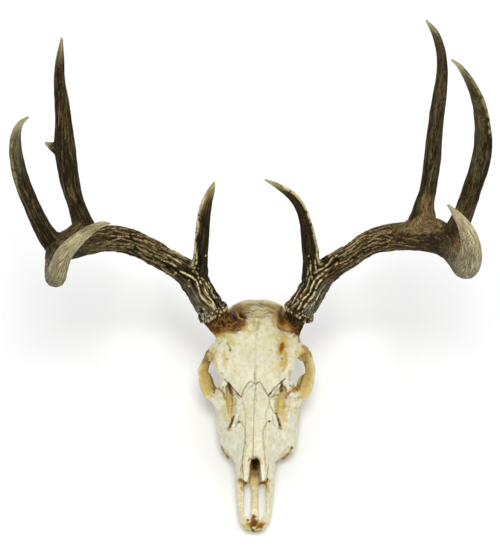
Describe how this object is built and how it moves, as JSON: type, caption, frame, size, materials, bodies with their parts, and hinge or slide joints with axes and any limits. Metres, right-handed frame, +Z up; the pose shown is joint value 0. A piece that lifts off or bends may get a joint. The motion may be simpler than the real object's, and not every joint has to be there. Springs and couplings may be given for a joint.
{
  "type": "deer skull with antlers",
  "caption": "Life-size white-tailed buck skull without its lower jaw, with curved antlers, resting on its upper cheek teeth.",
  "frame": {"origin": "centre of the bounding box's bottom face, at the level of the table that the cheek teeth stand on", "axes": "+Z up, -Y towards the muzzle, +X to the right of a person who faces the muzzle"},
  "size_m": [0.4302, 0.2978, 0.4234],
  "materials": {
    "skull_bone": "dry matt bone with fine pores and stains",
    "antler": "rough grooved dark brown bark of an antler",
    "antler_polished": "rubbed pale satin tip of an antler"
  },
  "bodies": {
    "root": {"braincase": "skull_bone", "cheek_left": "skull_bone", "cheek_right": "skull_bone", "forehead_left": "skull_bone", "forehead_right": "skull_bone", "muzzle_left": "skull_bone", "muzzle_right": "skull_bone", "nasal_left": "skull_bone", "nasal_right": "skull_bone", "upper_jaw_left": "skull_bone", "upper_jaw_right": "skull_bone", "antler_left_beam": "antler", "antler_left_outer_beam": "antler", "antler_left_beam_tip": "antler_polished", "antler_left_brow_tine": "antler", "antler_left_second_tine": "antler", "antler_left_third_tine": "antler", "antler_right_beam": "antler", "antler_right_outer_beam": "antler", "antler_right_beam_tip": "antler_polished", "antler_right_brow_tine": "antler", "antler_right_second_tine": "antler", "antler_right_third_tine": "antler"}
  },
  "joints": []
}
